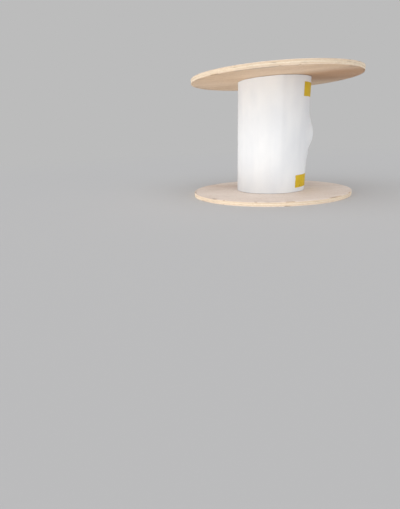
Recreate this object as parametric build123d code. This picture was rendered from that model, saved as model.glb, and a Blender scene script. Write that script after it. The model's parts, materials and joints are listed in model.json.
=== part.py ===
from build123d import *
import math
import os

# Small cable drum of plywood and cardboard, in millimetres.
# Two round plywood flanges are pulled onto the ends of a cardboard tube by four tie rods inside it.
# The tube wears one turn of thin foam sheet, held at its loose edge by two short tapes.
# The drum stands on its lower flange. The origin is the middle of that flange's underside, and Z is the axis.
# Directions round the axis are in degrees from -Y towards +X.

# Flanges
flange_diameter = 400.0
flange_thickness = 10.0
flange_spacing = 260.0
flange_edge_break = 0.8
arbor_hole_diameter = 56.0

# Barrel tube and its seats
tube_outer_diameter = 164.0
tube_wall = 6.5
seat_depth = 3.0
seat_clearance = 0.3

# Cable start hole, beside the barrel in the lower flange
start_hole_diameter = 10.0
start_hole_margin = 3.0
start_hole_direction = 205.0

# Tie rods, with a washer and a thin nut sunk in each flange
rod_count = 4
rod_circle_diameter = 110.0
rod_first_direction = 45.0
rod_diameter = 6.0
rod_clearance = 0.3
rod_end_below_face = 0.5
thread_play = 0.1
washer_diameter = 18.0
washer_thickness = 1.6
nut_across_flats = 10.0
nut_height = 3.2
pocket_depth = 5.6
pocket_clearance = 0.5

# Foam sheet: it starts at one direction, goes once round and laps over its start
sheet_thickness = 2.0
sheet_gap = 0.3
sheet_end_gap = 0.5
sheet_start_direction = 20.0
sheet_step_angle = 10.0
sheet_loose_direction = 55.0
sheet_edge_direction = 92.0

# Tapes across the loose edge, each with a margin to the flange next to it
tape_width = 30.0
tape_length = 100.0
tape_thickness = 0.3
tape_gap = 0.2
tape_step_angle = 3.0
upper_tape_margin = 13.5
upper_tape_on_lap = 58.0
lower_tape_margin = 11.0
lower_tape_on_lap = 71.0

# The loose edge stands off between the tapes, most at the peak, less and less towards foot and head
pucker_lift = 14.0
pucker_peak_height = 131.0
pucker_foot_margin = 19.0
pucker_head_margin = 2.5
pucker_foot_power = 4.5
pucker_head_power = 2.7
pucker_levels = 6

overall_height = flange_spacing + 2 * flange_thickness
flange_radius = flange_diameter / 2
tube_outer_radius = tube_outer_diameter / 2
tube_inner_radius = tube_outer_radius - tube_wall
turn_radius = tube_outer_radius + sheet_gap
lap_radius = turn_radius + sheet_thickness + sheet_gap
free_length = lap_radius * math.radians(sheet_edge_direction - sheet_loose_direction)
upper_tape_height = flange_spacing - upper_tape_margin - tape_width
pucker_foot_height = lower_tape_margin + tape_width + pucker_foot_margin
pucker_head_height = upper_tape_height - pucker_head_margin


def at(radius, direction):
    """A point on a circle round the axis."""
    angle = math.radians(direction)
    return Vector(radius * math.sin(angle), -radius * math.cos(angle))


def arc(radius, start, end):
    """An arc round the axis from one direction to another."""
    return ThreePointArc(at(radius, start), at(radius, (start + end) / 2), at(radius, end))


def disc(radius, height, z):
    """A round disc on the axis, standing on level z."""
    return Pos(0, 0, z) * Cylinder(radius, height, align=(Align.CENTER, Align.CENTER, Align.MIN))


def rod_places():
    """The tie rods' points, evenly spaced on their circle."""
    step = 360 / rod_count
    return [at(rod_circle_diameter / 2, rod_first_direction + step * i) for i in range(rod_count)]


def flange():
    """A flange that lies with its outer face on level 0, and its seat for the tube in the face above."""
    body = disc(flange_radius, flange_thickness, 0)
    rims = body.edges().filter_by(GeomType.CIRCLE)
    body = chamfer(rims, flange_edge_break)
    body -= disc(arbor_hole_diameter / 2, flange_thickness, 0)
    seat_level = flange_thickness - seat_depth
    seat = disc(tube_outer_radius + seat_clearance, seat_depth, seat_level)
    seat -= disc(tube_inner_radius - seat_clearance, seat_depth, seat_level)
    body -= seat
    pocket_radius = washer_diameter / 2 + pocket_clearance
    for place in rod_places():
        body -= Pos(place) * disc(rod_diameter / 2 + rod_clearance, flange_thickness, 0)
        body -= Pos(place) * disc(pocket_radius, pocket_depth, 0)
    return body


def turned_over(shape):
    """The same piece at the drum's other end, with each rod place kept."""
    return mirror(shape, about=Plane.XY.offset(overall_height / 2))


def lower_flange():
    """The lower flange has the cable start hole too, clear of the foam sheet."""
    start_radius = turn_radius + sheet_thickness + start_hole_margin + start_hole_diameter / 2
    start_place = at(start_radius, start_hole_direction)
    return flange() - Pos(start_place) * disc(start_hole_diameter / 2, flange_thickness, 0)


def barrel_tube():
    """The tube reaches to the floor of the seat in each flange."""
    length = flange_spacing + 2 * seat_depth
    level = flange_thickness - seat_depth
    return disc(tube_outer_radius, length, level) - disc(tube_inner_radius, length, level)


def pucker(height):
    """How far the sheet's loose edge stands off at a height over the lower flange."""
    if height <= pucker_foot_height or height >= pucker_head_height:
        return 0.0
    if height < pucker_peak_height:
        share = (height - pucker_foot_height) / (pucker_peak_height - pucker_foot_height)
        return pucker_lift * math.sin(math.radians(90 * share))**pucker_foot_power
    share = (pucker_head_height - height) / (pucker_head_height - pucker_peak_height)
    return pucker_lift * math.sin(math.radians(90 * share))**pucker_head_power


def loose_section(height):
    """The sheet's cut where it is loose: a band along the barrel's tangent, straighter as it lifts."""
    bend = 1 / lap_radius - 2 * pucker(height) / free_length**2
    radius = 1 / bend
    out = at(1, sheet_loose_direction)
    along = at(1, sheet_loose_direction + 90)
    centre = at(lap_radius, sheet_loose_direction) - out * radius

    def on_band(face_radius, share):
        turn = free_length / radius * share
        return centre + out * (face_radius * math.cos(turn)) + along * (face_radius * math.sin(turn))

    inner = [on_band(radius, share) for share in (0, 0.5, 1)]
    outer = [on_band(radius + sheet_thickness, share) for share in (1, 0.5, 0)]
    outline = [
        ThreePointArc(*inner),
        Line(inner[2], outer[0]),
        ThreePointArc(*outer),
        Line(outer[2], inner[0]),
    ]
    return Pos(0, 0, height) * make_face(outline)


def loose_levels():
    """Heights of the cuts through the loose part, closer together where it puckers."""
    foot_step = (pucker_peak_height - pucker_foot_height) / pucker_levels
    head_step = (pucker_head_height - pucker_peak_height) / pucker_levels
    foot = [pucker_foot_height + foot_step * i for i in range(pucker_levels)]
    head = [pucker_peak_height + head_step * i for i in range(pucker_levels + 1)]
    return [sheet_end_gap] + foot + head + [flange_spacing - sheet_end_gap]


def foam_wrap():
    """One sheet: the turn round the tube, the step over its start, the lap, and the loose part."""
    start = sheet_start_direction
    step = start + 360 - sheet_step_angle
    lap = start + 360
    loose = sheet_loose_direction + 360
    turn_face = turn_radius + sheet_thickness
    lap_face = lap_radius + sheet_thickness
    outline = [
        arc(turn_radius, start, step),
        Line(at(turn_radius, step), at(lap_radius, lap)),
        arc(lap_radius, lap, loose),
        Line(at(lap_radius, loose), at(lap_face, loose)),
        arc(lap_face, loose, lap),
        Line(at(lap_face, lap), at(turn_face, step)),
        arc(turn_face, step, start),
        Line(at(turn_face, start), at(turn_radius, start)),
    ]
    sheet_width = flange_spacing - 2 * sheet_end_gap
    wound = Pos(0, 0, sheet_end_gap) * extrude(make_face(outline), sheet_width, dir=(0, 0, 1))
    loose_part = loft([loose_section(height) for height in loose_levels()], ruled=True)
    return Pos(0, 0, flange_thickness) * (wound + loose_part)


def tape(on_lap, height):
    """A tape that lies on the lap, steps down over the sheet's edge and ends on the turn below."""
    high = lap_radius + sheet_thickness + tape_gap
    low = turn_radius + sheet_thickness + tape_gap
    edge = sheet_edge_direction + tape_step_angle / 2
    below = edge + tape_step_angle
    start = sheet_edge_direction - math.degrees(on_lap / high)
    end = sheet_edge_direction + math.degrees((tape_length - on_lap) / low)
    high_face = high + tape_thickness
    low_face = low + tape_thickness
    outline = [
        arc(high, start, edge),
        Line(at(high, edge), at(low, below)),
        arc(low, below, end),
        Line(at(low, end), at(low_face, end)),
        arc(low_face, end, below),
        Line(at(low_face, below), at(high_face, edge)),
        arc(high_face, edge, start),
        Line(at(high_face, start), at(high, start)),
    ]
    return Pos(0, 0, flange_thickness + height) * extrude(make_face(outline), tape_width, dir=(0, 0, 1))


def tie_rod(place):
    """A rod that ends a little below both outer faces."""
    length = overall_height - 2 * rod_end_below_face
    return Pos(place) * disc(rod_diameter / 2, length, rod_end_below_face)


def washer(place):
    """A washer on the floor of a pocket in the lower flange."""
    level = pocket_depth - washer_thickness
    ring = disc(washer_diameter / 2, washer_thickness, level)
    return Pos(place) * (ring - disc(rod_diameter / 2 + rod_clearance, washer_thickness, level))


def nut(place):
    """A thin hexagon nut on the washer."""
    level = pocket_depth - washer_thickness - nut_height
    hexagon = RegularPolygon(nut_across_flats / 2, 6, major_radius=False)
    body = Pos(0, 0, level) * extrude(hexagon, nut_height, dir=(0, 0, 1))
    return Pos(place) * (body - disc(rod_diameter / 2 + thread_play, nut_height, level))


nodes = {
    "lower_flange": lower_flange(),
    "upper_flange": turned_over(flange()),
    "barrel_tube": barrel_tube(),
    "foam_wrap": foam_wrap(),
    "upper_tape": tape(upper_tape_on_lap, upper_tape_height),
    "lower_tape": tape(lower_tape_on_lap, lower_tape_margin),
}
for number, rod_place in enumerate(rod_places(), start=1):
    nodes[f"tie_rod_{number}"] = tie_rod(rod_place)
    nodes[f"bottom_washer_{number}"] = washer(rod_place)
    nodes[f"bottom_nut_{number}"] = nut(rod_place)
    nodes[f"top_washer_{number}"] = turned_over(washer(rod_place))
    nodes[f"top_nut_{number}"] = turned_over(nut(rod_place))

os.makedirs("parts", exist_ok=True)
for name, shape in nodes.items():
    export_step(shape, f"parts/{name}.step")
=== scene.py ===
# %% [markdown]
# # A small wooden cable drum
#
# Two round plywood flanges sit on the ends of a cardboard tube and are pulled together by four tie rods.
# The tube wears one turn of thin white foam sheet, and two short yellow tapes hold the sheet's loose edge.
# The construction comes as a frame of finished parts, in metres. This lesson gives every part its look:
# the camera first, then the finishes, then the pieces one by one, and at the end the floor and the light.

# %% Load the frame
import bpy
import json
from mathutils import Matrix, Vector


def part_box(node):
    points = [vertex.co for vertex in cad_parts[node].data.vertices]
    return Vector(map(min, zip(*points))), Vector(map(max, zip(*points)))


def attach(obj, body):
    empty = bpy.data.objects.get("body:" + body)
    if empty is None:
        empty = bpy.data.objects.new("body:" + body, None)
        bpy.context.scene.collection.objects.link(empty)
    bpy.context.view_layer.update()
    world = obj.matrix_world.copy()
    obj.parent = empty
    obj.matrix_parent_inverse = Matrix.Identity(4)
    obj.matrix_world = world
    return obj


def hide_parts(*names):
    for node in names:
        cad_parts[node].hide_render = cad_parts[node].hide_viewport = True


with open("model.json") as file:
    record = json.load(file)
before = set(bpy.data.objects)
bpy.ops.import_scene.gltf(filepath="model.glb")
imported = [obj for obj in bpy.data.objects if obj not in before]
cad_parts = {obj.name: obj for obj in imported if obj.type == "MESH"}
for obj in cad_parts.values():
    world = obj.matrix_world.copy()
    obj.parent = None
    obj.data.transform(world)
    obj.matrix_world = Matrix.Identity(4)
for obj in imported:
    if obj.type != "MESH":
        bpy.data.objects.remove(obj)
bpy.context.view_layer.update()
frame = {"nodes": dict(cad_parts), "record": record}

# %% [markdown]
# ## Sizes that the frame gives
#
# A look that is fitted by eye drifts away from the part. So each size is read from the frame where it can be:
# the box of a flange gives its radius and its thickness, and the box of a rod gives the rod's place.
# Directions round the axis are in degrees from the side that faces the camera, positive to its right.

# %% Read the sizes
import json
import math
import random

import bmesh
import bpy
from mathutils import Matrix, Vector, geometry, noise

MM = 0.001
facet_slack = 0.02 * MM

lower_low, lower_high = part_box("lower_flange")
upper_low, upper_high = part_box("upper_flange")
floor_level = lower_low.z
lower_inner_face = lower_high.z
upper_inner_face = upper_low.z
upper_outer_face = upper_high.z
flange_thickness = lower_inner_face - floor_level
flange_radius = min(lower_high.x, -lower_low.x) - facet_slack
tube_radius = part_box("barrel_tube")[1].x
arbor_mount = next(mount for mount in frame["record"]["mounts"] if mount["name"] == "arbor_bore")
arbor_radius = arbor_mount["dims"]["r_mm"] * MM


def at(radius, direction, z=0.0):
    """A point round the axis."""
    angle = math.radians(direction)
    return Vector((radius * math.sin(angle), -radius * math.cos(angle), z))


def middle(node):
    """The middle of a node's box."""
    low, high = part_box(node)
    return (low + high) / 2


rod_numbers = range(1, 5)
rod_places = [middle(f"tie_rod_{number}") for number in rod_numbers]
print("flange radius", round(flange_radius / MM, 1), "mm, thickness", round(flange_thickness / MM, 1), "mm")
print("tube radius", round(tube_radius / MM, 1), "mm")

# %% [markdown]
# ## The camera
#
# The photograph was taken by hand with a wide phone lens, about a metre from the drum and level with the
# middle of its barrel, so it looks up at the upper flange and down on the lower one. The lens points down and
# to the left of the drum, so the drum stands in the upper right of the picture, where a wide lens leans and
# widens it. Copying the camera's place and turn copies that lean too, which no camera that points at the drum
# could show. The lens axis doesn't meet the picture in its middle, as in a photograph that was cropped, so
# the camera is shifted by just as much.

# %% Place the camera
PICTURE_WIDTH_PX = 400
PICTURE_HEIGHT_PX = 509
focal_length_px = 358.1
lens_axis_px = (185.7, 266.2)
camera_distance = 0.9921
camera_height = 0.1511
turned_left = math.radians(13.59)
tilted_down = math.radians(19.88)
rolled = math.radians(2.68)

forward = Vector((-math.sin(turned_left), math.cos(turned_left), 0)) * math.cos(tilted_down)
forward.z = -math.sin(tilted_down)
level_right = forward.cross(Vector((0, 0, 1))).normalized()
level_down = forward.cross(level_right).normalized()
right = level_right * math.cos(rolled) + level_down * math.sin(rolled)
down = level_down * math.cos(rolled) - level_right * math.sin(rolled)

camera_data = bpy.data.cameras.new("photo_camera")
camera_data.sensor_width = 36
camera_data.lens = focal_length_px / PICTURE_HEIGHT_PX * camera_data.sensor_width
camera_data.shift_x = (PICTURE_WIDTH_PX / 2 - lens_axis_px[0]) / PICTURE_HEIGHT_PX
camera_data.shift_y = (lens_axis_px[1] - PICTURE_HEIGHT_PX / 2) / PICTURE_HEIGHT_PX
camera = bpy.data.objects.new("photo_camera", camera_data)
bpy.context.scene.collection.objects.link(camera)
turn = Matrix((right, -down, -forward)).transposed().to_4x4()
camera.matrix_world = Matrix.Translation((0, -camera_distance, camera_height)) @ turn
bpy.context.scene.camera = camera
print("lens", round(camera_data.lens, 2), "mm")

# %% [markdown]
# ## Shader maths as expressions
#
# A finish is mostly masks: where the rim is, where a pore is, how deep a layer lies. As separate nodes they
# are hard to read, so a small class wraps a node's output and turns `1 - mask` into Math nodes. `Nodes.node`
# adds every other kind of node: its settings first, then what goes into its sockets.


# %% Sockets with arithmetic
class Socket:
    """A node's output. Arithmetic on it adds Math nodes."""

    def __init__(self, nodes, output):
        self.nodes = nodes
        self.output = output

    def math(self, operation, *values):
        return self.nodes.node("Math", {"operation": operation}, dict(enumerate(values)))

    def __add__(self, other):
        return self.math("ADD", self, other)

    def __sub__(self, other):
        return self.math("SUBTRACT", self, other)

    def __rsub__(self, other):
        return self.math("SUBTRACT", other, self)

    def __mul__(self, other):
        return self.math("MULTIPLY", self, other)

    def __truediv__(self, other):
        return self.math("DIVIDE", self, other)

    def __abs__(self):
        return self.math("ABSOLUTE", self)

    def __pow__(self, other):
        return self.math("POWER", self, other)

    __radd__ = __add__
    __rmul__ = __mul__

    def above(self, level, blur):
        """1 where the value is over the level, 0 where it is under, blurred in between."""
        limits = {"Value": self, "From Min": level - blur / 2, "From Max": level + blur / 2}
        return self.nodes.node("MapRange", {"interpolation_type": "SMOOTHSTEP"}, limits)


class Nodes:
    """A tree of nodes in the making."""

    def __init__(self, tree):
        self.tree = tree

    def node(self, kind, settings, inputs, result=0):
        """Adds a node, makes its settings and then feeds its sockets with values or links."""
        made = self.tree.nodes.new("ShaderNode" + kind)
        for name, value in settings.items():
            setattr(made, name, value)
        for socket, value in inputs.items():
            self.feed(made.inputs[socket], value)
        return Socket(self, made.outputs[result])

    def feed(self, socket, value):
        if isinstance(value, Socket):
            self.tree.links.new(value.output, socket)
        else:
            socket.default_value = value

    def parts(self, vector):
        """The X, Y and Z of a vector."""
        split = self.node("SeparateXYZ", {}, {0: vector})
        return [Socket(self, output) for output in split.output.node.outputs]

    def vector(self, x, y, z):
        return self.node("CombineXYZ", {}, {0: x, 1: y, 2: z})

    def scaled(self, vector, factors):
        return self.node("VectorMath", {"operation": "MULTIPLY"}, {0: vector, 1: factors})

    def moved(self, vector, step):
        return self.node("VectorMath", {"operation": "ADD"}, {0: vector, 1: step})

    def noise(self, vector, detail=2.0, roughness=0.5):
        """Cloudy noise from 0 to 1, with features about 1 apart."""
        inputs = {"Vector": vector, "Scale": 1.0, "Detail": detail, "Roughness": roughness}
        return self.node("TexNoise", {}, inputs)

    def blend(self, share, first, second):
        """A colour between two others."""
        return self.node("Mix", {"data_type": "RGBA"}, {0: share, 6: first, 7: second}, 2)

    def bump(self, height, strength, distance):
        """A normal from a relief: a height of 1 stands for the distance in metres."""
        return self.node("Bump", {}, {"Height": height, "Strength": strength, "Distance": distance})


class Finish(Nodes):
    """A material in the making."""

    def __init__(self, name):
        self.material = bpy.data.materials.new(name)
        self.material.use_nodes = True
        super().__init__(self.material.node_tree)
        self.shader = self.tree.nodes["Principled BSDF"]
        self.place = self.node("TexCoord", {}, {}, "Object")

    def surface(self, **inputs):
        """Feeds the surface shader, whose socket names are written with underscores."""
        for name, value in inputs.items():
            self.feed(self.shader.inputs[name.replace("_", " ")], value)
        return self.material


def colour(red, green, blue):
    """A shader colour from the 0 to 255 values that a picture shows."""
    shares = [c / 255 for c in (red, green, blue)]
    return tuple(s / 12.92 if s <= 0.04045 else ((s + 0.055) / 1.055) ** 2.4 for s in shares) + (1.0,)


print("cream is", [round(c, 3) for c in colour(240, 225, 190)])

# %% [markdown]
# ## Plywood
#
# A plywood disc is a stack of veneers whose grain turns by a quarter from one to the next. A picture of the
# face wrapped round the rim would look like paper. So the finish is a solid one: it works out from the depth
# which veneer a point lies in, and stretches its grain along that veneer's own direction. The rim then shows
# long grain on one side, end grain a quarter turn on, and glue lines in between, as sawn plywood does.

# %% The plywood's layers
CORE_VENEERS = 3
face_veneer = 1.3 * MM
core_veneer = (flange_thickness - 2 * face_veneer) / CORE_VENEERS
half_board = flange_thickness / 2
glue_heights = (half_board - face_veneer, core_veneer / 2)
glue_line = 0.16 * MM
veneer_blur = 0.04 * MM
veneer_waver = 0.35 * MM
grain_bend = 45 * MM
handled_width = 12 * MM
handled_blur = 22 * MM
relief_depth = 0.25 * MM

# Both flanges are the same plywood. The lower face's paler, greyer colours are partly a painted sheen of the
# low light grazing it, and the upper face's warmer, darker colours are partly painted shade and warm bounce
# light under that flange.
lower_face_and_sheen = (colour(243, 231, 222), colour(233, 218, 206), colour(214, 192, 177))
upper_face_and_shade = (colour(240, 214, 186), colour(227, 197, 163), colour(203, 164, 128))
core_cream = colour(251, 238, 217)
core_straw = colour(240, 220, 192)
end_brown = colour(216, 188, 158)
rim_skin = colour(247, 230, 212)
raw_fibre = colour(214, 184, 146)
glue_brown = colour(140, 106, 78)
oval_and_shade_red = colour(176, 128, 88)
pore_brown = colour(168, 128, 100)
# Dark brown for knots, and also painted shade in the rim's core gaps.
knot_and_gap_shade_brown = colour(112, 74, 50)
grime = colour(124, 108, 94)


def veneer_tone(finish, place, along_x):
    """How dark a veneer's grain is at a point, and where its pores are.

    The grain runs along one axis and is bent a little by slow noise, so that its lines waver together.
    """
    slow = (2, 5, 2) if along_x else (5, 2, 2)
    bend = (finish.noise(finish.scaled(place, slow), 1) - 0.5) * grain_bend
    bent = finish.moved(place, finish.vector(0, bend, bend) if along_x else finish.vector(bend, 0, bend))

    def stretched(along, across):
        return finish.scaled(bent, (along, across, across) if along_x else (across, along, across))

    bands = finish.noise(stretched(1.5, 24), 2, 0.5)
    lines = finish.noise(stretched(5, 260), 2, 0.55)
    fibres = finish.noise(stretched(60, 1500), 2, 0.5)
    pores = finish.noise(stretched(170, 2600), 1, 0.5).above(0.62, 0.08)
    return bands * 0.42 + lines * 0.34 + fibres * 0.24, pores


def spot(finish, x, y, centre, along, across, soft=0.5):
    """A soft oval on the face: 1 inside it, 0 outside."""
    reach = ((x - centre[0]) / along) ** 2 + ((y - centre[1]) / across) ** 2
    return 1 - (reach ** 0.5).above(1, soft)


def knots(finish, place):
    """Small knots, few and far between, with a darker halo along the grain."""
    cells = {"Vector": finish.scaled(place, (5, 8, 0)), "Scale": 1.0}
    distance = finish.node("TexVoronoi", {}, cells)
    chosen = finish.parts(finish.node("TexVoronoi", {}, cells, "Color"))[0].above(0.62, 0.02)
    core = 1 - distance.above(0.022, 0.012)
    halo = 1 - distance.above(0.07, 0.10)
    return core * chosen, halo * chosen


def glue_lines(finish, place, height):
    """Where the glue between two veneers shows, strong in some stretches and faint in others."""
    patchy = finish.noise(finish.scaled(place, (22, 22, 160)), 2).above(0.5, 0.16)
    glue = 0.0
    for glue_height in glue_heights:
        glue = (1 - abs(height - glue_height).above(glue_line / 2, glue_line)) + glue
    return glue.math("MINIMUM", glue, 1) * (patchy * 0.8 + 0.2)


def face_wood(finish, place, tone, cloud, warm, face_colours):
    """The colour of a face veneer: clouds of two tones, darker streaks, a redder oval that is partly painted
    shade on the upper flange, and knots.
    """
    pale, tan, streak = face_colours
    face = finish.blend((tone * 0.55 + cloud * 0.45).above(0.5, 0.3), pale, tan)
    face = finish.blend(tone.above(0.6, 0.16) * 0.45, face, streak)
    face = finish.blend(warm, face, oval_and_shade_red)
    knot, halo = knots(finish, place)
    face = finish.blend(halo * 0.35, face, streak)
    return finish.blend(knot * 0.8, face, knot_and_gap_shade_brown)


# %% The plywood's finish
def plywood(name, middle_level, patch, face_colours, red_oval_and_shade, dash):
    """The finish of one flange.

    The patch is where on the log its veneers came from. The red oval is a redder, darker oval on its inner
    face, which on the upper flange is partly painted shade, and the dash is a short dark scratch there: each
    is a middle, a reach along the grain and one across it. The red oval has its strength as well.
    """
    f = Finish(name)
    x, y, z = f.parts(f.place)
    normal_x, normal_y, normal_z = f.parts(f.node("NewGeometry", {}, {}, "Normal"))
    side = (z - middle_level).math("SIGN", z - middle_level)
    on_wood = f.vector(x + side * 0.37 + patch[0], y + side * 0.53 + patch[1], z + patch[2])
    waver = (f.noise(f.scaled(on_wood, (90, 90, 90)), 2) - 0.5) * veneer_waver
    height = abs(z - middle_level) + waver * (1 - abs(normal_z))
    skin = height.above(glue_heights[0], veneer_blur)
    crossed = height.above(glue_heights[1], veneer_blur) * (1 - skin)
    glue = glue_lines(f, on_wood, height)
    inner = (z - middle_level).above(0, 1 * MM)
    if middle_level > flange_thickness:
        inner = 1 - inner

    tone_x, pores_x = veneer_tone(f, on_wood, True)
    tone_y, pores_y = veneer_tone(f, on_wood, False)
    tone = tone_x * (1 - crossed) + tone_y * crossed
    pores = pores_x * (1 - crossed) + pores_y * crossed
    end_grain = abs(normal_x) * (1 - crossed) + abs(normal_y) * crossed

    cloud = f.noise(f.scaled(on_wood, (5, 9, 1)), 3, 0.55)
    *oval_place, oval_share = red_oval_and_shade
    # A redder, darker oval on the inner face: on the upper flange it is partly painted shade where the
    # barrel's shadow falls on the underside.
    warm = spot(f, x + (cloud - 0.5) * 60 * MM, y + (cloud - 0.5) * 40 * MM, *oval_place, 1.2) * inner
    face = face_wood(f, on_wood, tone_x, cloud, warm * oval_share, face_colours)
    core = f.blend(tone.above(0.5, 0.4), core_cream, core_straw)
    on_rim = (1 - abs(normal_z)).above(0.5, 0.4)
    wood = f.blend(skin, core, f.blend(on_rim * 0.75, face, rim_skin))
    wood = f.blend(end_grain ** 1.5 * 0.5, wood, end_brown)
    wood = f.blend(pores * 0.5, wood, pore_brown)
    wood = f.blend(glue * 0.8, wood, glue_brown)
    broken = f.node("Attribute", {"attribute_name": "broken"}, {}, "Fac")
    hollow = f.node("Attribute", {"attribute_name": "hollow"}, {}, "Fac")
    wood = f.blend(broken * 0.7, wood, f.blend(tone.above(0.5, 0.2), raw_fibre, glue_brown))
    # Painted shade: the rim's core gaps are coloured a deep brown that stands in for the shade inside them.
    wood = f.blend(hollow * 0.85, wood, knot_and_gap_shade_brown)

    reach = (x * x + y * y) ** 0.5
    smudges = f.noise(f.scaled(on_wood, (14, 14, 14)), 4, 0.6).above(0.58, 0.2)
    handled = reach.above(flange_radius - handled_width, handled_blur) * (1 - on_rim) * 0.30
    wood = f.blend(smudges * (handled + 0.07), wood, grime)
    slanted = f.vector((x * 0.8 + y * 0.6) * 36, (y * 0.8 - x * 0.6) * 800, z * 30)
    scratches = f.noise(slanted, 1).above(0.75, 0.04)
    wood = f.blend(scratches * (1 - on_rim) * 0.2, wood, grime)
    wood = f.blend(spot(f, x, y + (cloud - 0.5) * 4 * MM, *dash) * inner * 0.6, wood, grime)

    saw_marks = f.noise(f.scaled(f.place, (950, 950, 60)), 2, 0.6)
    relief = tone * 0.5 - pores * 0.5 + on_rim * saw_marks * 1.6 - glue * on_rim * 0.8
    relief = relief + broken * saw_marks - scratches * 0.4
    rough = 0.56 + tone * 0.12 + on_rim * 0.2
    return f.surface(Base_Color=wood, Roughness=rough, Specular_IOR_Level=0.42,
                     Normal=f.bump(relief, 0.5, relief_depth))


# The upper red oval, on the right of the underside, is partly a redder patch in the veneer and partly painted
# shade where the barrel's shadow falls. The lower one is a faint redder patch at the rear left.
lower_red_oval = ((-0.13, 0.06), 70 * MM, 40 * MM, 0.22)
upper_red_oval_and_shade = ((0.15, -0.01), 100 * MM, 90 * MM, 0.72)
lower_dash = ((0.042, -0.173), 11 * MM, 1.1 * MM)
upper_dash = ((-0.06, 0.15), 14 * MM, 0.7 * MM)
# The faces carry painted light: a sheen on the lower flange and shade on the upper one.
lower_plywood = plywood("lower_plywood", floor_level + half_board, (0.31, 0.17, 0.0),
                        lower_face_and_sheen, lower_red_oval, lower_dash)
upper_plywood = plywood("upper_plywood", upper_outer_face - half_board, (1.43, -0.58, 0.4),
                        upper_face_and_shade, upper_red_oval_and_shade, upper_dash)
print("veneers", round(face_veneer / MM, 2), round(core_veneer / MM, 2), "mm")

# %% [markdown]
# ## Foam sheet, tape, board and zinc
#
# The sheet is closed-cell foam, white and matt, with fine cells and faint lines along its length.
# The tape is a woven cloth tape with a soft gloss, the tube is brown wound board with a spiral seam, and the
# tie rods, nuts and washers are zinc plated. Each of them is a few lines once the plywood's tools are there.

# %% The other finishes
foam_white = colour(240, 241, 242)
foam_shade = colour(231, 233, 236)


def foam():
    """White closed-cell sheet."""
    f = Finish("white_foam")
    cells = f.node("TexVoronoi", {}, {"Vector": f.scaled(f.place, (850, 850, 850)), "Scale": 1.0})
    lines = f.noise(f.scaled(f.place, (30, 30, 700)), 2, 0.6)
    clouds = f.noise(f.scaled(f.place, (22, 22, 9)), 3, 0.55)
    shade = f.blend(clouds.above(0.5, 0.5), foam_white, foam_shade)
    relief = cells * 0.6 + lines * 0.5
    return f.surface(Base_Color=shade, Roughness=0.58 + clouds * 0.1, Specular_IOR_Level=0.3,
                     Normal=f.bump(relief, 0.25, 0.15 * MM))


tape_yellow = colour(225, 194, 44)
tape_ochre = colour(207, 171, 30)
dot_brown = colour(84, 66, 30)
dot_place = at(tube_radius + 5 * MM, 55.3, lower_inner_face + 15.2 * MM)
dot_radius = 1.3 * MM
dot_blur = 1.2 * MM
thread_spacing = 0.9 * MM


def cloth_tape():
    """Yellow cloth tape: a fine weave under a soft plastic face, with a dark dot in one place."""
    f = Finish("yellow_tape")
    x, y, z = f.parts(f.place)
    around = y.math("ARCTAN2", x, y) * tube_radius
    threads = 2 * math.pi / thread_spacing
    weave = (around * threads).math("SINE", around * threads) * (z * threads).math("SINE", z * threads)
    wear = f.noise(f.scaled(f.place, (38, 38, 38)), 4, 0.6)
    base = f.blend(wear.above(0.52, 0.7), tape_yellow, tape_ochre)
    away = f.node("VectorMath", {"operation": "DISTANCE"}, {0: f.place, 1: dot_place}, "Value")
    base = f.blend((1 - away.above(dot_radius, dot_blur)) * 0.8, base, dot_brown)
    return f.surface(Base_Color=base, Roughness=0.5 + wear * 0.16, Specular_IOR_Level=0.3,
                     Normal=f.bump(weave * 0.5 + wear, 0.35, 0.08 * MM))


strip_width = 90 * MM


def wound_board():
    """Brown board, wound as a spiral strip."""
    f = Finish("wound_board")
    x, y, z = f.parts(f.place)
    along_spiral = z / strip_width + y.math("ARCTAN2", y, x) / (2 * math.pi)
    seam = 1 - abs(along_spiral.math("FRACT", along_spiral) - 0.5).above(0.008, 0.008)
    fibres = f.noise(f.scaled(f.place, (500, 500, 500)), 3, 0.65)
    base = f.blend(fibres, colour(168, 132, 94), colour(140, 106, 72))
    base = f.blend(seam * 0.6, base, colour(92, 68, 46))
    return f.surface(Base_Color=base, Roughness=0.85, Normal=f.bump(fibres * 0.3 - seam, 0.4, 0.3 * MM))


def zinc():
    """Dull zinc plate with a little bloom."""
    f = Finish("zinc_plate")
    bloom = f.noise(f.scaled(f.place, (420, 420, 420)), 4, 0.6)
    base = f.blend(bloom.above(0.55, 0.3), colour(196, 196, 192), colour(160, 158, 150))
    return f.surface(Base_Color=base, Metallic=1.0, Roughness=0.3 + bloom * 0.25,
                     Normal=f.bump(bloom, 0.15, 0.05 * MM))


white_foam = foam()
yellow_tape = cloth_tape()
brown_board = wound_board()
zinc_plate = zinc()
print("finishes", [m.name for m in bpy.data.materials])

# %% [markdown]
# ## A shell made of loops
#
# Every hard piece here is made of loops of points: a rim is a wall between two loops, and a face fills the
# space between an outer loop and the holes in it. Booleans would do it too, but they leave slivers along a
# rim that is meant to be chipped and uneven. A shell of loops stays closed whatever moves a point.


# %% Loops, walls and flats
class Shell:
    """A closed mesh in the making."""

    def __init__(self):
        self.points = []
        self.faces = []

    def loop(self, points):
        first = len(self.points)
        self.points += points
        return list(range(first, len(self.points)))

    def wall(self, one, other):
        """Joins two loops of as many points."""
        count = len(one)
        for i in range(count):
            j = (i + 1) % count
            self.faces.append((one[i], one[j], other[j], other[i]))

    def walls(self, loops):
        """Joins each loop to the next."""
        for one, other in zip(loops, loops[1:]):
            self.wall(one, other)

    def flat(self, *loops):
        """Fills the first loop, apart from the loops inside it."""
        numbers = [i for loop in loops for i in loop]
        for triangle in geometry.tessellate_polygon([[self.points[i] for i in loop] for loop in loops]):
            self.faces.append(tuple(numbers[k] for k in triangle))


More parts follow.
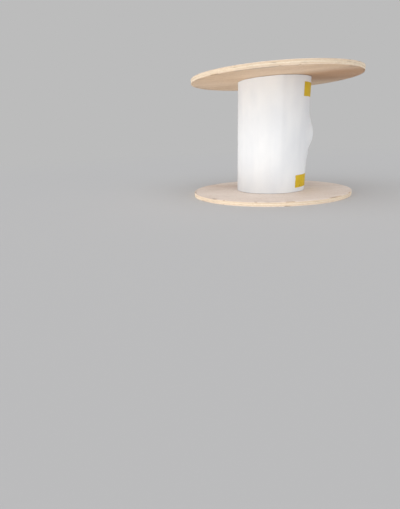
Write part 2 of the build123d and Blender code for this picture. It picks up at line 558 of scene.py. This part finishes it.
def outward(mesh):
    """Turns every face outwards."""
    work = bmesh.new()
    work.from_mesh(mesh)
    bmesh.ops.recalc_face_normals(work, faces=work.faces)
    work.to_mesh(mesh)
    work.free()


def piece(name, points, faces, finish, nodes, sharp_over=35.0, marks=None):
    """A shown piece: it takes a finish, rides on the drum and stands for its nodes.

    Marks are values at its points that the finish reads by their name.
    """
    mesh = bpy.data.meshes.new(name)
    mesh.from_pydata([tuple(p) for p in points], [], faces)
    for mark, values in (marks or {}).items():
        mesh.attributes.new(mark, "FLOAT", "POINT").data.foreach_set("value", values)
    outward(mesh)
    mesh.materials.append(finish)
    mesh.polygons.foreach_set("use_smooth", [True] * len(mesh.polygons))
    mesh.set_sharp_from_angle(angle=math.radians(sharp_over))
    made = bpy.data.objects.new(name, mesh)
    bpy.context.scene.collection.objects.link(made)
    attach(made, "root")
    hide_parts(*nodes)
    print(name, len(mesh.polygons), "faces")
    return made


def ring(radius, z, count, centre=Vector((0, 0, 0))):
    """A circle of points."""
    return [centre + at(radius, 360 * i / count, z) for i in range(count)]


# %% [markdown]
# ## The flanges
#
# The flanges are what the eye goes to: pale faces with a rough cream rim. A sawn rim isn't a cylinder. Each
# veneer ends at its own radius, the glue lines stand back and open into a gap here and there, and the face
# veneers break out in small chips where the saw left them unsupported. All of that is modelled, so that it
# also catches light at the edge of the outline. The holes are the arbor hole, four pockets for the nuts, the
# seat of the tube and, in the lower flange, the hole where a cable starts.

# %% The uneven rim
RIM_POINTS = 1440
rim_round = 0.5 * MM
veneer_scatter = 0.22 * MM
saw_wander = 0.25 * MM
glue_recess = 0.18 * MM
full_break = 0.4 * MM
chip_count = 54
gap_count = 11
gap_depth = 1.6 * MM
core_glue_numbers = (1, 2)
face_margin = 6 * MM


def chips(seed, seen):
    """Break-outs along both edges, those seen in the photograph first.

    Each has a direction, half its length in degrees, a depth, a height, and whether it is on the outer edge.
    """
    draw = random.Random(seed)
    found = list(seen)
    for _ in range(chip_count):
        half_length = draw.uniform(0.3, 1.0) if draw.random() < 0.8 else draw.uniform(1.0, 3.0)
        depth = draw.uniform(0.4, 1.8) * MM
        direction = draw.uniform(0, 360)
        height = draw.uniform(0.6, 1.5) * MM
        found.append((direction, half_length, depth, height, draw.random() < 0.5))
    return found


def core_gaps(seed, seen):
    """Short gaps between the core's veneers: direction, half length in degrees and the glue line's number."""
    draw = random.Random(seed + 100)
    found = list(seen)
    for _ in range(gap_count):
        direction = draw.uniform(0, 360)
        half_length = draw.uniform(0.3, 1.3)
        found.append((direction, half_length, draw.choice(core_glue_numbers)))
    return found


def rim_levels():
    """Depths at which the rim is cut, from the outer face to the inner one.

    Each has its veneer's number, its own recess, and the number of the glue line that it lies on, or None.
    """
    last_veneer = CORE_VENEERS + 1
    edges = [0.0, face_veneer]
    edges += [face_veneer + core_veneer * (i + 1) for i in range(CORE_VENEERS)]
    edges.append(flange_thickness)
    levels = [(0.0, 0, rim_round, None), (rim_round * 0.3, 0, rim_round * 0.3, None)]
    for veneer, (top, foot) in enumerate(zip(edges, edges[1:])):
        for share in (0.12, 0.5, 0.88):
            levels.append((top + (foot - top) * share, veneer, 0.0, None))
        if foot < flange_thickness:
            levels.append((foot, veneer, glue_recess, veneer))
    levels.append((flange_thickness - rim_round * 0.3, last_veneer, rim_round * 0.3, None))
    levels.append((flange_thickness, last_veneer, rim_round, None))
    return sorted(levels, key=lambda level: level[0])


def rim_point(direction, level, breaks, gaps, seed):
    """How far the rim lies inside the disc's full radius, how much of that is a chip, and how much a gap."""
    depth, veneer, recess, glue_number = level
    angle = math.radians(direction)
    here = Vector((math.cos(angle), math.sin(angle), 0))
    own = noise.noise(here * 9 + Vector((0, 0, seed + veneer * 5.3))) * 0.5 + 0.5
    rough = noise.noise(here * 70 + Vector((0, 0, seed + veneer * 3.1 + depth * 300))) * 0.5 + 0.5
    wander = noise.noise(here * 2.2 + Vector((0, 0, seed))) * 0.5 + 0.5
    inset = recess + veneer_scatter * (own * 0.6 + rough * 0.4) + saw_wander * wander
    chipped, hollow = 0.0, 0.0
    for centre, half_length, chip_depth, chip_height, outer_edge in breaks:
        away = abs((direction - centre + 180) % 360 - 180) / half_length
        height = depth if outer_edge else flange_thickness - depth
        if away < 1 and height < chip_height:
            chipped += chip_depth * (1 - away**3) * (1 - height / chip_height) * (0.6 + 0.8 * rough)
    for centre, half_length, number in gaps:
        away = abs((direction - centre + 180) % 360 - 180) / half_length
        if away < 1 and number == glue_number:
            hollow = max(hollow, 1 - away**4)
    return inset + chipped + hollow * gap_depth, min(1.0, chipped / full_break), hollow


lower_seed, upper_seed = 11, 29
lower_chips = chips(lower_seed, [
    (12.5, 2.6, 1.6 * MM, 1.4 * MM, False),
    (47, 6.5, 2.4 * MM, 1.5 * MM, False),
    (-52, 2.2, 1.5 * MM, 1.6 * MM, True),
])
upper_chips = chips(upper_seed, [
    (57, 2.0, 1.4 * MM, 1.2 * MM, True),
    (-38, 3.0, 1.0 * MM, 1.0 * MM, False),
])
lower_gaps = core_gaps(lower_seed, [(30, 1.6, 2), (-18, 1.2, 1), (-36, 1.4, 2)])
upper_gaps = core_gaps(upper_seed, [
    (46, 1.9, 1), (52.5, 1.5, 1), (57.5, 1.2, 1),
    (38, 1.0, 2), (-47, 1.4, 2), (-22, 1.6, 1),
])
print("chips", len(lower_chips), len(upper_chips), "gaps", len(lower_gaps), len(upper_gaps))

# %% Build a flange
SEAT_POINTS = 192
HOLE_POINTS = 64
seat_slack = 0.3 * MM
tube_wall = 6.5 * MM
washer_slack = 0.5 * MM
rod_slack = 0.3 * MM
start_hole_radius = 5 * MM
start_hole_place = at(tube_radius + 10.3 * MM, 205)
arbor_break = 0.6 * MM
start_hole_break = 0.3 * MM
pocket_chamfer = 0.4 * MM
pocket_break = 0.2 * MM


def half_width(node):
    """Half of what a round node measures across."""
    low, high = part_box(node)
    return (high.x - low.x) / 2


def flange_rim(shell, level, breaks, gaps, seed):
    """The uneven rim's loops from the outer face to the inner one, and two marks at each of its points."""
    loops, broken, hollow = [], [], []
    for cut in rim_levels():
        points = []
        for i in range(RIM_POINTS):
            direction = 360 * i / RIM_POINTS
            inset, chipped, gap = rim_point(direction, cut, breaks, gaps, seed)
            points.append(at(flange_radius - inset, direction, level(cut[0])))
            broken.append(chipped)
            hollow.append(gap)
        loops.append(shell.loop(points))
    shell.walls(loops)
    return loops, broken, hollow


def flange(name, outer_face, inner_face, finish, seed, breaks, gaps, node, with_start_hole):
    """A disc with its outer face on one level and the seat of the tube in the other."""
    shell = Shell()
    inwards = 1 if inner_face > outer_face else -1

    def level(depth):
        return outer_face + inwards * depth

    def circles(radius, depths, count):
        return [shell.loop(ring(radius, level(depth), count)) for depth in depths]

    rims, broken, hollow = flange_rim(shell, level, breaks, gaps, seed)
    face_edges = circles(flange_radius - face_margin, (0, flange_thickness), RIM_POINTS)
    shell.wall(rims[0], face_edges[0])
    shell.wall(rims[-1], face_edges[1])

    def hole(centre, radius, depths, worn=0.0):
        """A hole's loops, a little wider at its two ends where the edge is worn."""
        loops = []
        for k, depth in enumerate(depths):
            wide = worn if k in (0, len(depths) - 1) else 0.0
            loops.append(shell.loop(ring(radius + wide, level(depth), HOLE_POINTS, centre)))
        shell.walls(loops)
        return loops[0], loops[-1]

    axis = Vector((0, 0, 0))
    arbor_depths = (0, arbor_break, flange_thickness / 2, flange_thickness - arbor_break, flange_thickness)
    arbor_out, arbor_in = hole(axis, arbor_radius, arbor_depths, arbor_break)
    out_loops, in_loops = [], []
    rod_radius = half_width("tie_rod_1") + rod_slack
    pocket_radius = half_width("bottom_washer_1") + washer_slack
    pocket_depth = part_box("bottom_washer_1")[1].z - floor_level
    for rod_place in rod_places:
        centre = Vector((rod_place.x, rod_place.y, 0))
        pocket_depths = (0, pocket_chamfer, pocket_depth)
        pocket_out, pocket_floor = hole(centre, pocket_radius, pocket_depths, pocket_break)
        rod_out, rod_in = hole(centre, rod_radius, (pocket_depth, flange_thickness))
        shell.flat(pocket_floor, rod_out)
        out_loops.append(pocket_out)
        in_loops.append(rod_in)

    seat_depths = (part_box("barrel_tube")[0].z - floor_level, flange_thickness)
    seat_outer = circles(tube_radius + seat_slack, seat_depths, SEAT_POINTS)
    seat_inner = circles(tube_radius - tube_wall - seat_slack, seat_depths, SEAT_POINTS)
    shell.walls(seat_outer)
    shell.walls(seat_inner)
    shell.flat(seat_outer[0], seat_inner[0])
    shell.flat(seat_inner[1], arbor_in, *in_loops)

    outside, inside = [], []
    if with_start_hole:
        start_depths = (0, start_hole_break, flange_thickness - start_hole_break, flange_thickness)
        start_out, start_in = hole(start_hole_place, start_hole_radius, start_depths, start_hole_break)
        outside.append(start_out)
        inside.append(start_in)
    shell.flat(face_edges[0], arbor_out, *out_loops, *outside)
    shell.flat(face_edges[1], seat_outer[1], *inside)
    sound = [0.0] * (len(shell.points) - len(broken))
    marks = {"broken": broken + sound, "hollow": hollow + sound}
    return piece(name, shell.points, shell.faces, finish, [node], marks=marks)


flange("lower_plywood_disc", floor_level, lower_inner_face, lower_plywood,
       lower_seed, lower_chips, lower_gaps, "lower_flange", with_start_hole=True)
flange("upper_plywood_disc", upper_outer_face, upper_inner_face, upper_plywood,
       upper_seed, upper_chips, upper_gaps, "upper_flange", with_start_hole=False)

# %% [markdown]
# ## The foam sheet
#
# The sheet is one strip of foam two millimetres thick. It starts on the tube, goes once round and laps over
# its own start. It could be a cloth simulation, but foam sheet is stiff: it keeps the faint flats of the roll
# that it came from, and between the tapes its loose edge stands off in one smooth pucker. So its path is
# written down: a face that follows the tube, a step over the start, then a band that leaves the barrel on its
# tangent.

# %% The sheet's path
sheet_thickness = 2.0 * MM
sheet_gap = 0.3 * MM
sheet_start = 20.0
step_angle = 35.0
loose_from = 55.0 + 360
sheet_edge = 92.0 + 360
turn_radius = tube_radius + sheet_gap
lap_radius = turn_radius + sheet_thickness + sheet_gap
free_length = lap_radius * math.radians(sheet_edge - loose_from)

barrel_height = upper_inner_face - lower_inner_face
upper_tape_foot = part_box("upper_tape")[0].z - lower_inner_face
lower_tape_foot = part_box("lower_tape")[0].z - lower_inner_face
tape_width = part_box("upper_tape")[1].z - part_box("upper_tape")[0].z
pucker_lift = 14.4 * MM
pucker_peak = 131 * MM
pucker_foot_margin = 19 * MM
pucker_head_margin = 2.5 * MM
pucker_foot = lower_tape_foot + tape_width + pucker_foot_margin
pucker_head = upper_tape_foot - pucker_head_margin
foot_power = 4.8
head_power = 3.5
swelling_lift = 2.4 * MM
swelling_middle = 84 * MM
swelling_reach = 29 * MM

flat_count = 27
flatness = 0.4
ripple_lift = 0.25 * MM
flare_lift = 0.5 * MM
flare_reach = 14 * MM


def crease_directions(seed):
    """Where the sheet's faint flats meet, unevenly spaced round the barrel."""
    draw = random.Random(seed)
    steps = [draw.uniform(8, 19) for _ in range(flat_count)]
    turn, found = 0.0, []
    for step in steps:
        found.append(turn)
        turn += step * 360 / sum(steps)
    return found + [360.0]


creases = crease_directions(5)


def stand_off(direction, height):
    """How far the sheet stands off the round tube: its flats, its ripples and the flare at its two ends."""
    turn = direction % 360
    k = next(i for i in range(len(creases) - 1) if creases[i + 1] >= turn)
    width = creases[k + 1] - creases[k]
    share = (turn - creases[k]) / width
    sag = tube_radius * (1 - math.cos(math.radians(width / 2)))
    angle = math.radians(turn)
    here = Vector((math.cos(angle), math.sin(angle), 0))
    ripple = noise.noise(here * 3.2 + Vector((0, 0, height * 9))) * 0.5 + 0.5
    near_end = min(height, barrel_height - height)
    flare = max(0.0, 1 - near_end / flare_reach)**2 * (noise.noise(here * 5 + Vector((3, 1, 7))) * 0.5 + 0.5)
    rounded = 0.5 + 0.5 * math.cos(2 * math.pi * share)
    fold = 0.35 * (2 * share - 1)**2 + 0.65 * rounded
    return sag * flatness * fold + ripple_lift * ripple + flare_lift * flare


def pucker(height):
    """How far the loose edge stands off at a height over the lower flange.

    It has one high pucker, steeper below its peak than above, and a low swelling under it.
    """
    away = min(1.0, abs(height - swelling_middle) / swelling_reach)
    swelling = swelling_lift * math.cos(away * math.pi / 2)**2
    if height <= pucker_foot or height >= pucker_head:
        return swelling
    if height < pucker_peak:
        share = (height - pucker_foot) / (pucker_peak - pucker_foot)
        return swelling + pucker_lift * math.sin(share * math.pi / 2)**foot_power
    share = (pucker_head - height) / (pucker_head - pucker_peak)
    return swelling + pucker_lift * math.sin(share * math.pi / 2)**head_power


def sheet_face(turn, height):
    """A point of the sheet's inner face and the direction out of it. A turn over 360 is on the lap."""
    out = at(1, turn)
    off = stand_off(turn, height)
    if turn <= loose_from:
        climbed = min(1.0, max(0.0, (turn - (sheet_start + 360 - step_angle)) / step_angle))
        climbed = climbed * climbed * (3 - 2 * climbed)
        radius = turn_radius + (lap_radius - turn_radius) * climbed
        return out * (radius + off), out
    bend = 1 / lap_radius - 2 * pucker(height) / free_length**2
    radius = 1 / bend
    leave_out, leave_along = at(1, loose_from), at(1, loose_from + 90)
    centre = leave_out * (lap_radius - radius)
    swept = lap_radius * math.radians(turn - loose_from) / radius
    out = leave_out * math.cos(swept) + leave_along * math.sin(swept)
    return centre + out * (radius + off), out


# %% Build the sheet
SHEET_COLUMNS = 230
SHEET_ROWS = 88
edge_wave = 0.5 * MM
edge_wander = 0.7
end_gap = 0.5 * MM


def sheet_height(turn, share):
    """The height of a row of the sheet: its two long edges were cut by hand, so they wave a little."""
    here = at(1, turn)
    foot = end_gap + edge_wave * (noise.noise(here * 2.7 + Vector((0, 0, 2))) * 0.5 + 0.5)
    head = end_gap + edge_wave * (noise.noise(here * 3.1 + Vector((0, 0, 8))) * 0.5 + 0.5)
    return foot + (barrel_height - foot - head) * share


def sheet_turn(share, height):
    """The direction of a column: the loose edge isn't quite straight."""
    ragged = edge_wander * noise.noise(Vector((height * 18, 4.2, 0.7)))
    return sheet_start + (sheet_edge + ragged * share - sheet_start) * share


def strip(rows, columns, place):
    """A closed strip from its inner and outer faces: place gives both points for a row and a column."""
    points, faces = [], []
    for row in range(rows + 1):
        for column in range(columns + 1):
            points += place(row / rows, column / columns)

    def number(row, column, side):
        return 2 * (row * (columns + 1) + column) + side

    corners = ((0, 0), (0, 1), (1, 1), (1, 0))
    for row in range(rows):
        for column in range(columns):
            for side in (0, 1):
                faces.append(tuple(number(row + r, column + c, side) for r, c in corners))
    for row in range(rows):
        for column in (0, columns):
            a, b = number(row, column, 0), number(row + 1, column, 0)
            faces.append((a, a + 1, b + 1, b))
    for column in range(columns):
        for row in (0, rows):
            a, b = number(row, column, 0), number(row, column + 1, 0)
            faces.append((a, a + 1, b + 1, b))
    return points, faces


def sheet_place(row_share, column_share):
    """Both faces' points of the sheet for shares of its height and of its length."""
    rough_height = barrel_height * row_share
    turn = sheet_turn(column_share, rough_height)
    height = sheet_height(turn, row_share)
    face, out = sheet_face(turn, height)
    up = Vector((0, 0, lower_inner_face + height))
    return [face + up, face + out * sheet_thickness + up]


sheet_points, sheet_faces = strip(SHEET_ROWS, SHEET_COLUMNS, sheet_place)
foam_sheet = piece("foam_sheet", sheet_points, sheet_faces, white_foam, ["foam_wrap"], 50)

# %% [markdown]
# ## The tapes
#
# Each tape lies on the lap, drops over the sheet's loose edge and ends on the turn below. It follows the same
# path as the sheet, so it can't sink into it or float over it. Cloth tape is torn by hand, so its ends are
# ragged along its threads.

# %% Build the tapes
tape_length = 100.0 * MM
tape_thickness = 0.25 * MM
tape_gap = 0.12 * MM
upper_on_lap = 58.0 * MM
lower_on_lap = 71.0 * MM
wrinkle_lift = 0.25 * MM
past_edge = 0.8
drop_angle = 4.0
TAPE_ROWS = 40
TAPE_COLUMNS = 90


def tape_face(direction, height):
    """A point just over the sheet: on the lap before its edge, on the turn below past it, sloping between."""
    def over(turn):
        face, out = sheet_face(turn, height)
        return face + out * (sheet_thickness + tape_gap), out

    edge = sheet_edge - 360 + past_edge
    if direction <= edge:
        return over(direction + 360)
    if direction >= edge + drop_angle:
        return over(direction)
    high, high_out = over(edge + 360)
    low, low_out = over(edge + drop_angle)
    share = (direction - edge) / drop_angle
    eased = share * share * (3 - 2 * share)
    point = high.lerp(low, share)
    radius = high.length + (low.length - high.length) * eased
    return point.normalized() * radius, high_out.lerp(low_out, share).normalized()


def tape(name, on_lap, foot, seed, node):
    """A tape, torn at both ends."""
    start = sheet_edge - 360 - math.degrees(on_lap / lap_radius)
    end = sheet_edge - 360 + math.degrees((tape_length - on_lap) / turn_radius)
    draw = random.Random(seed)
    tears = [[draw.uniform(-0.3, 0.5) for _ in range(TAPE_ROWS + 1)] for _ in range(2)]

    def place(row_share, column_share):
        row = round(row_share * TAPE_ROWS)
        first = start + tears[0][row] + 0.5 * noise.noise(Vector((row_share * 4, seed, 0)))
        last = end - tears[1][row] + 0.5 * noise.noise(Vector((row_share * 4, seed, 5)))
        direction = first + (last - first) * column_share
        height = foot + tape_width * row_share
        point, out = tape_face(direction, height)
        wrinkle = max(0.0, noise.noise(Vector((direction * 0.16, row_share * 3, seed)))) * wrinkle_lift
        up = Vector((0, 0, lower_inner_face + height))
        return [point + out * wrinkle + up, point + out * (wrinkle + tape_thickness) + up]

    points, faces = strip(TAPE_ROWS, TAPE_COLUMNS, place)
    return piece(name, points, faces, yellow_tape, [node], 50)


upper_tape_strip = tape("upper_tape_strip", upper_on_lap, upper_tape_foot, 3, "upper_tape")
lower_tape_strip = tape("lower_tape_strip", lower_on_lap, lower_tape_foot, 8, "lower_tape")

# %% [markdown]
# ## Tie rods, washers and nuts
#
# These small parts lie in the pockets of the flanges, where they show from above and below. A plain cylinder
# would give them away at once, so the rods' ends carry a real thread, the nuts have the two chamfers of a
# turned hexagon, and the washers have the rounded edge of a stamping. Only a rod's ends are cut finely.

# %% Threaded rods
thread_pitch = 1.0 * MM
thread_depth = 0.5 * MM
threaded_length = 9 * MM
worn_tip = 0.5 * MM
THREAD_POINTS = 24
LEVELS_PER_TURN = 6


def on_floor(node):
    """The point under a node's middle, on level 0."""
    centre = middle(node)
    centre.z = 0
    return centre


def tie_rod(number):
    """A rod with a thread at both ends."""
    node = f"tie_rod_{number}"
    low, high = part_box(node)
    centre = on_floor(node)
    radius = half_width(node)
    step = thread_pitch / LEVELS_PER_TURN
    count = round(threaded_length / step)
    levels = [low.z + step * i for i in range(count)] + [high.z - step * i for i in reversed(range(count))]
    shell = Shell()
    loops = []
    for level in levels:
        from_end = min(level - low.z, high.z - level)
        points = []
        for i in range(THREAD_POINTS):
            share = i / THREAD_POINTS
            wave = abs(((level / thread_pitch - share) % 1) * 2 - 1)
            worn = max(0.0, 1 - from_end / thread_pitch) * worn_tip
            cut = thread_depth * wave if from_end < threaded_length - thread_pitch else thread_depth * 0.35
            points.append(centre + at(radius - max(cut, worn), 360 * share, level))
        loops.append(shell.loop(points))
    shell.walls(loops)
    shell.flat(loops[0])
    shell.flat(loops[-1])
    return piece(f"threaded_rod_{number}", shell.points, shell.faces, zinc_plate, [node])


# %% Washers and nuts
WASHER_POINTS = 48
NUT_POINTS = 72
edge_round = 0.25 * MM
washer_bore_share = 0.37
nut_face_share = 0.96
nut_chamfer = math.radians(30)
nut_bore_slack = 0.05 * MM
nut_bore_chamfer = 0.4 * MM


def washer(node):
    """A stamped washer, rounded on its outer edges."""
    low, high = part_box(node)
    centre = on_floor(node)
    outer = half_width(node)
    inner = outer * washer_bore_share
    near, far = edge_round * 0.3, edge_round
    profile = [
        (inner, low.z), (outer - far, low.z), (outer - near, low.z + near), (outer, low.z + far),
        (outer, high.z - far), (outer - near, high.z - near), (outer - far, high.z), (inner, high.z),
    ]
    shell = Shell()
    loops = [shell.loop(ring(radius, level, WASHER_POINTS, centre)) for radius, level in profile]
    shell.walls(loops + loops[:1])
    return piece(node + "_ring", shell.points, shell.faces, zinc_plate, [node])


def nut(node):
    """A thin hexagon nut: flat sides, both faces turned down to a circle at the corners."""
    low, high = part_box(node)
    centre = on_floor(node)
    half_flats = (high.y - low.y) / 2
    face_radius = half_flats * nut_face_share
    bore = half_width("tie_rod_1") + nut_bore_slack
    shell = Shell()

    def circle(radius, level):
        return shell.loop(ring(radius, level, NUT_POINTS, centre))

    def hexagon(face_level, inwards):
        points = []
        for i in range(NUT_POINTS):
            direction = 360 * i / NUT_POINTS
            radius = half_flats / math.cos(math.radians((direction + 30) % 60 - 30))
            drop = (radius - face_radius) * math.tan(nut_chamfer)
            points.append(centre + at(radius, direction, face_level + inwards * drop))
        return shell.loop(points)

    loops = [
        circle(bore, low.z + nut_bore_chamfer),
        circle(bore + nut_bore_chamfer, low.z),
        circle(face_radius, low.z),
        hexagon(low.z, 1),
        hexagon(high.z, -1),
        circle(face_radius, high.z),
        circle(bore + nut_bore_chamfer, high.z),
        circle(bore, high.z - nut_bore_chamfer),
    ]
    shell.walls(loops + loops[:1])
    return piece(node + "_hexagon", shell.points, shell.faces, zinc_plate, [node], 20)


for number in rod_numbers:
    tie_rod(number)
    for end in ("bottom", "top"):
        washer(f"{end}_washer_{number}")
        nut(f"{end}_nut_{number}")

# %% [markdown]
# ## The cardboard tube
#
# The sheet hides the tube's outside, and only its inside shows through the arbor holes. The frame's own tube
# has the right shape, so it stays and only takes the finish of wound board.

# %% Finish the tube
tube = frame["nodes"]["barrel_tube"]
tube.data.materials.clear()
tube.data.materials.append(brown_board)
print("tube finish", tube.data.materials[0].name)

# %% [markdown]
# ## Floor and light
#
# The drum stands on a wide pale floor under a pale sky of the same tone, so that no horizon cuts through the
# picture from any side. The photograph's light is daylight that comes in low, broad and soft from the front
# and the left, and up from the bright ground as well, which is why the underside of the upper flange is so
# light. A fainter, cooler light from the right fills the shade, and a broad one overhead lights the lower
# flange. A lamp close by would leave a bright patch on the floor. So the lamps are suns, each spread over a
# wide piece of the sky, and the floor casts no shadow, which lets the low sun reach the flange from below.

# %% The floor
FLOOR_POINTS = 128
floor_radii = (0.3, 1.0, 4.0, 15.0, 60.0)
haze_distance = 1.9
haze_blur = 2.2
floor_tone = colour(188, 188, 188)
floor_shell = Shell()
floor_loops = [floor_shell.loop(ring(radius, floor_level, FLOOR_POINTS)) for radius in floor_radii]
floor_shell.walls(floor_loops)
floor_shell.flat(floor_loops[0])
floor_mesh = bpy.data.meshes.new("pale_floor")
floor_mesh.from_pydata([tuple(p) for p in floor_shell.points], [], floor_shell.faces)
paper = Finish("pale_paper")
paper.surface(Base_Color=colour(197, 197, 198), Roughness=1.0, Specular_IOR_Level=0.0)
floor_x, floor_y, _ = paper.parts(paper.place)
far = ((floor_x * floor_x + floor_y * floor_y) ** 0.5).above(haze_distance, haze_blur)
haze = paper.node("Emission", {}, {"Color": floor_tone, "Strength": 1.0})
faded = paper.node("MixShader", {}, {0: far, 1: Socket(paper, paper.shader.outputs[0]), 2: haze})
paper.feed(paper.tree.nodes["Material Output"].inputs["Surface"], faded)
floor_mesh.materials.append(paper.material)
pale_floor = bpy.data.objects.new("pale_floor", floor_mesh)
bpy.context.scene.collection.objects.link(pale_floor)
pale_floor.visible_shadow = False
print("floor", round(pale_floor.dimensions.x), "m across")


# %% The suns
def sun(name, direction, height, spread, strength, tint):
    """Daylight from a direction round the drum and a height over the floor, both in degrees."""
    data = bpy.data.lights.new(name, "SUN")
    data.angle = math.radians(spread)
    data.energy = strength
    data.color = tint
    made = bpy.data.objects.new(name, data)
    source = at(math.cos(math.radians(height)), direction, math.sin(math.radians(height)))
    made.rotation_euler = (-source).to_track_quat("-Z", "Y").to_euler()
    bpy.context.scene.collection.objects.link(made)
    print(name, "from", direction, "degrees")


sun("daylight", -50, -20, 44, 1.6, (1.0, 0.985, 0.96))
sun("cool_fill", 62, -4, 40, 0.88, (0.9, 0.95, 1.0))
sun("overhead", -20, 58, 110, 1.85, (1.0, 1.0, 1.0))

# %% The sky
sky_strength = 0.38
world = bpy.data.worlds.new("pale_room")
world.use_nodes = True
bpy.context.scene.world = world
bpy.context.scene.view_settings.view_transform = "Standard"
sky = Nodes(world.node_tree)
seen = sky.node("LightPath", {}, {}, "Is Camera Ray")
for kind in ("Is Glossy Ray", "Is Transmission Ray"):
    seen = seen.math("MAXIMUM", seen, sky.node("LightPath", {}, {}, kind))
light = (sky_strength, sky_strength, sky_strength, 1.0)
background = sky.tree.nodes["Background"]
sky.feed(background.inputs["Color"], sky.blend(seen, light, floor_tone))
sky.feed(background.inputs["Strength"], 1.0)
print("sky", sky_strength)

# %% [markdown]
# ## Bring the scene up to date
#
# A look must not change what the part measures.

# %% Update the view layer
bpy.context.view_layer.update()
